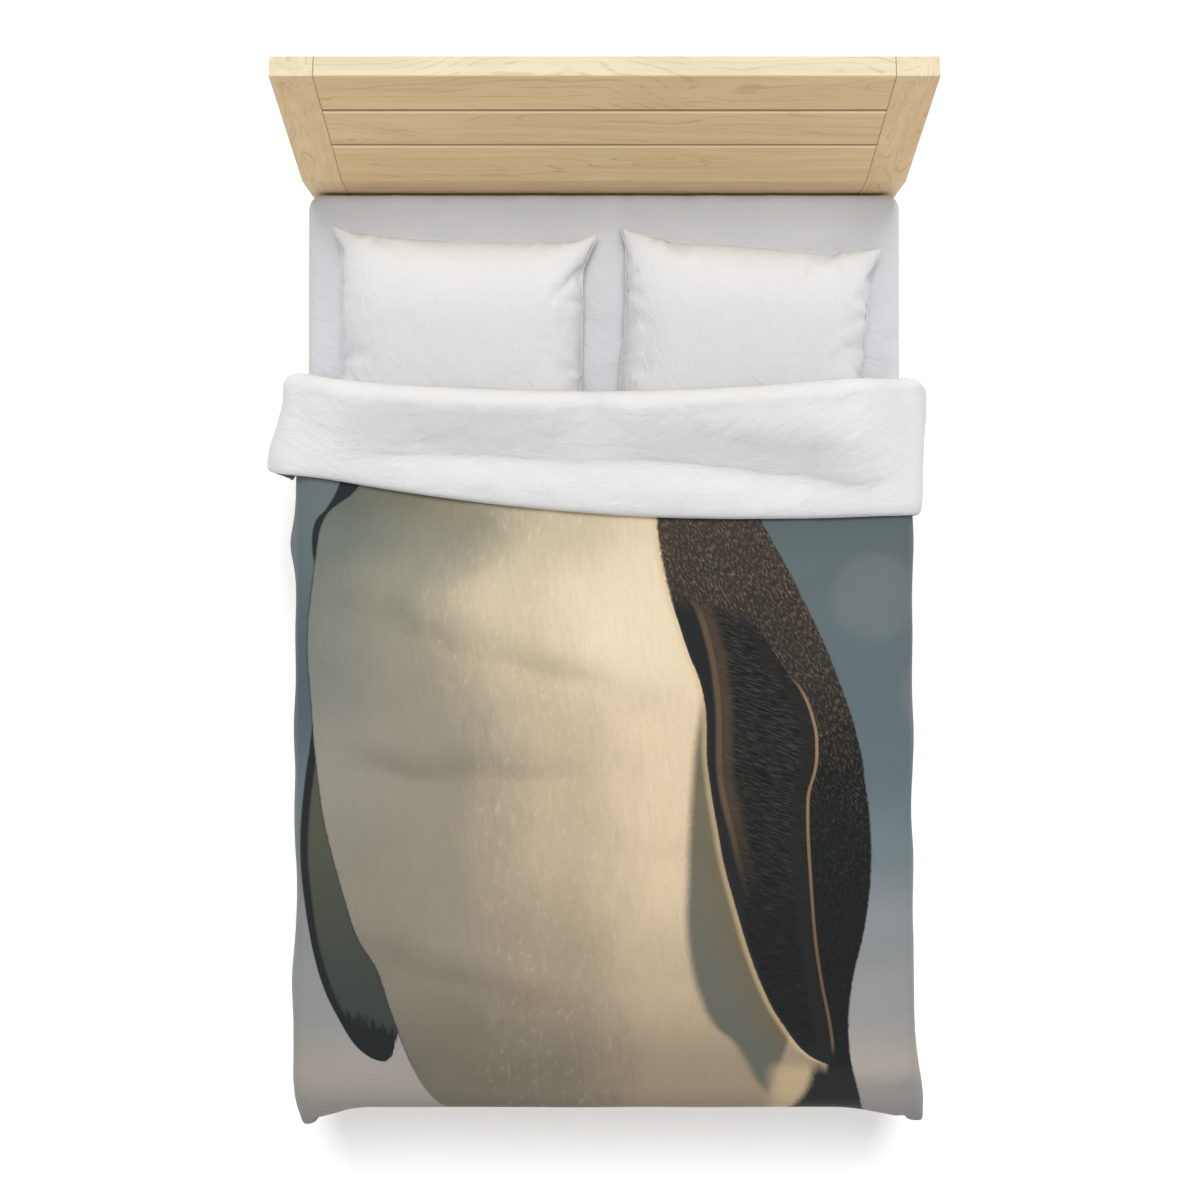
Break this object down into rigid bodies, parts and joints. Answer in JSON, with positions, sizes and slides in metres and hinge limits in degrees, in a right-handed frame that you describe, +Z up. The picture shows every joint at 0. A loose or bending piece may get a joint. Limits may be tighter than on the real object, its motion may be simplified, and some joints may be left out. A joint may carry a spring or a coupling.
{
  "type": "bed",
  "caption": "Wooden double bed made up with mattress, fitted sheet, pillows and a turned-down duvet in a penguin-print cover; raked plank headboard, slatted base.",
  "frame": {"origin": "on the floor, in the middle of the footprint of the whole made-up bed", "axes": "+X to the right seen from the foot end, +Y to the head end, +Z up"},
  "size_m": [1.511, 2.3068, 1.0914],
  "materials": {
    "maple": "satin",
    "pine": "matte",
    "steel": "satin",
    "felt": "matte",
    "ticking": "matte",
    "piping": "matte",
    "foam": "matte",
    "pocket_springs": "matte",
    "sheet_cotton": "matte",
    "pillow_cotton": "matte",
    "filling": "matte",
    "duvet_white": "matte",
    "duvet_print": "matte",
    "zip_plastic": "satin"
  },
  "bodies": {
    "bed": {"headboard_stile_left": "maple", "headboard_stile_right": "maple", "plank_top": "maple", "plank_middle": "maple", "plank_bottom": "maple", "headboard_apron": "maple", "head_rail": "maple", "foot_rail": "maple", "side_rail_left": "maple", "side_rail_right": "maple", "foot_post_left": "maple", "foot_post_right": "maple", "slat_ledger_left": "pine", "slat_ledger_right": "pine", "centre_beam": "pine", "centre_leg": "pine", "beam_hangers": "steel", "headboard_dowels": "pine", "bed_bolts": "steel", "barrel_nuts": "steel", "slat_screws": "steel", "floor_glides": "felt", "slat_1": "pine", "slat_2": "pine", "slat_3": "pine", "slat_4": "pine", "slat_5": "pine", "slat_6": "pine", "slat_7": "pine", "slat_8": "pine", "slat_9": "pine", "slat_10": "pine", "slat_11": "pine", "slat_12": "pine", "slat_13": "pine"},
    "mattress": {"mattress_cover": "ticking", "mattress_piping": "piping", "comfort_layer_top": "foam", "comfort_layer_bottom": "foam", "spring_unit": "pocket_springs", "fitted_sheet": "sheet_cotton", "sheet_elastic": "sheet_cotton"},
    "pillow_left": {"pillow_insert_left": "filling", "pillowcase_left": "pillow_cotton"},
    "pillow_right": {"pillow_insert_right": "filling", "pillowcase_right": "pillow_cotton"},
    "duvet": {"duvet_insert": "filling", "duvet_cover_face": "duvet_print", "duvet_cover_back": "duvet_white", "corner_ties": "duvet_white", "zip_tape": "duvet_white", "zip_coil": "zip_plastic"},
    "zip_slider": {"zip_slider": "steel", "zip_pull": "steel"}
  },
  "joints": [
    {"name": "mattress_lift", "type": "slide", "parent": "bed", "child": "mattress", "axis": [0, 0, 1], "range_m": [0, 0.3]},
    {"name": "pillow_left_slide", "type": "slide", "parent": "mattress", "child": "pillow_left", "axis": [0, 1, 0], "range_m": [0, 0.08]},
    {"name": "pillow_right_slide", "type": "slide", "parent": "mattress", "child": "pillow_right", "axis": [0, 1, 0], "range_m": [0, 0.08]},
    {"name": "duvet_lift", "type": "slide", "parent": "mattress", "child": "duvet", "axis": [0, 0, 1], "range_m": [0, 0.5]},
    {"name": "zip_slide", "type": "slide", "parent": "duvet", "child": "zip_slider", "axis": [1, 0, 0], "range_m": [0, 1.232]}
  ]
}
